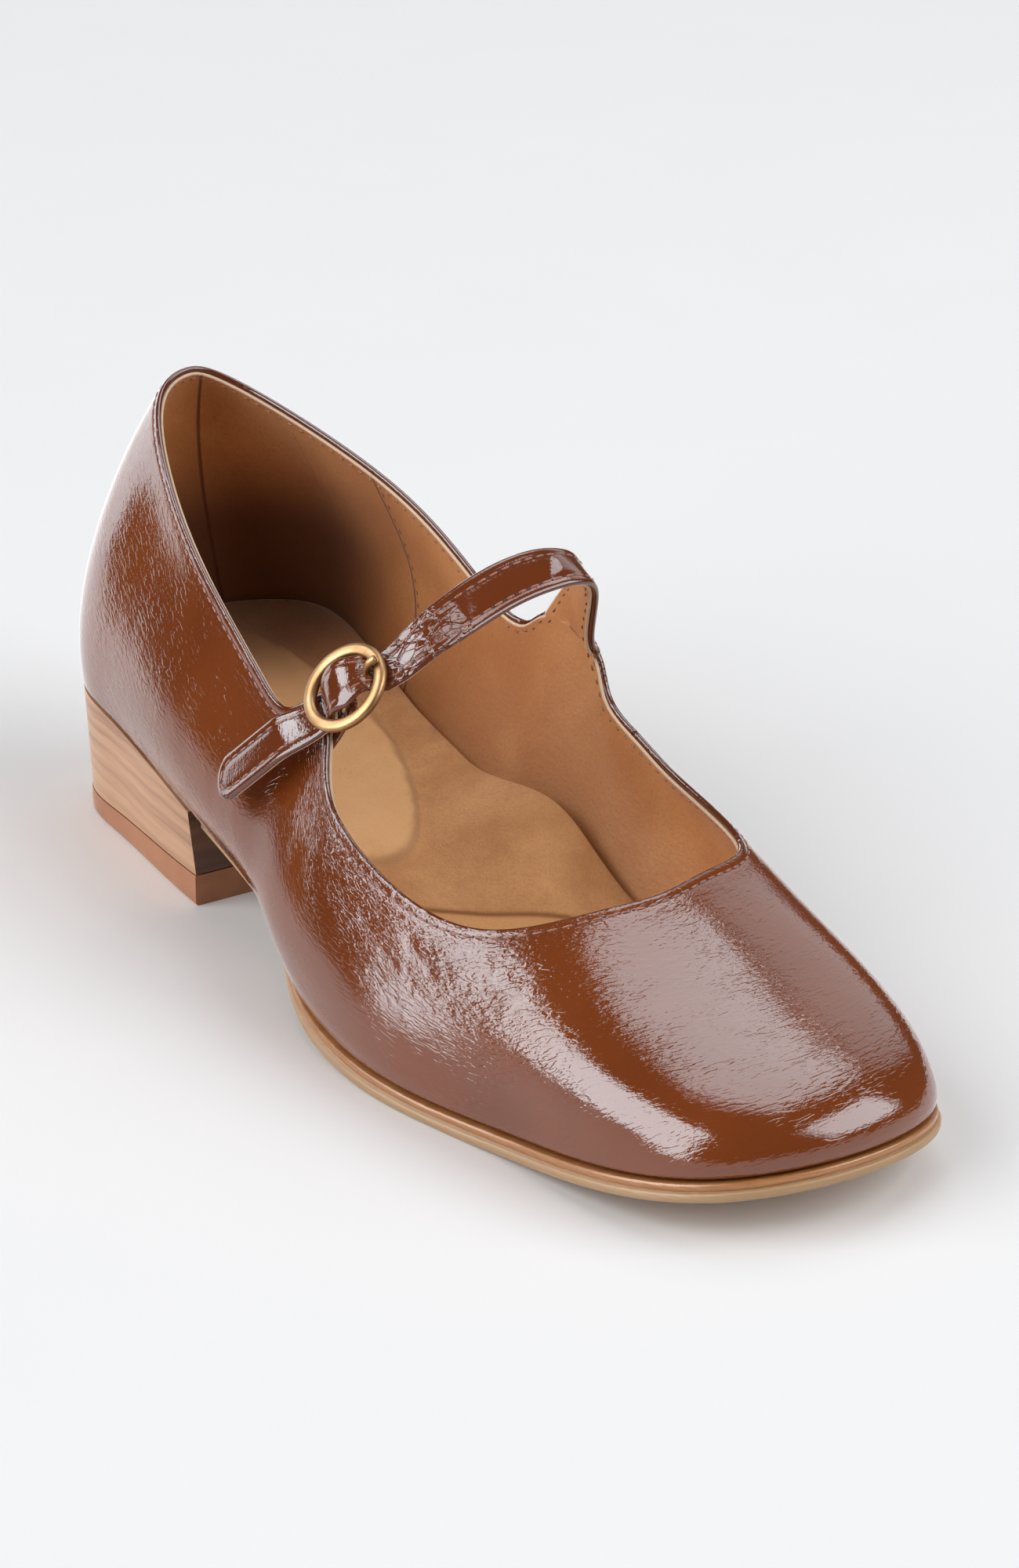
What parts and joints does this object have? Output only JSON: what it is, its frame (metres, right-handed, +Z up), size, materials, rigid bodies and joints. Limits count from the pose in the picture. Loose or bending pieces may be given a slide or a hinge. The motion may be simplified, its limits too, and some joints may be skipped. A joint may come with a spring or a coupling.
{
  "type": "mary jane shoe",
  "caption": "Low-heeled square-toed Mary Jane for the right foot: hollow crinkled patent upper, instep strap with a round buckle, thin stepped sole and stacked block heel.",
  "frame": {"origin": "on the floor, below the middle of the shoe's bounding box", "axes": "+Z up; the toe points towards -Y and the heel towards +Y; +X is the inner (medial) side of this right shoe"},
  "size_m": [0.0902, 0.2544, 0.0935],
  "materials": {
    "patent_leather": "glossy crinkled patent",
    "keeper_leather": "satin",
    "sole_leather": "satin",
    "stacked_leather": "satin, stacked layers",
    "lift_rubber": "matte",
    "insole_suede": "suede",
    "aged_brass": "brushed antique"
  },
  "bodies": {
    "root": {"upper": "patent_leather", "outsole": "sole_leather", "heel_block": "stacked_leather", "heel_lift": "lift_rubber", "insole": "insole_suede", "buckle_ring": "aged_brass", "buckle_prong": "aged_brass", "buckle_keeper": "keeper_leather"}
  },
  "joints": []
}
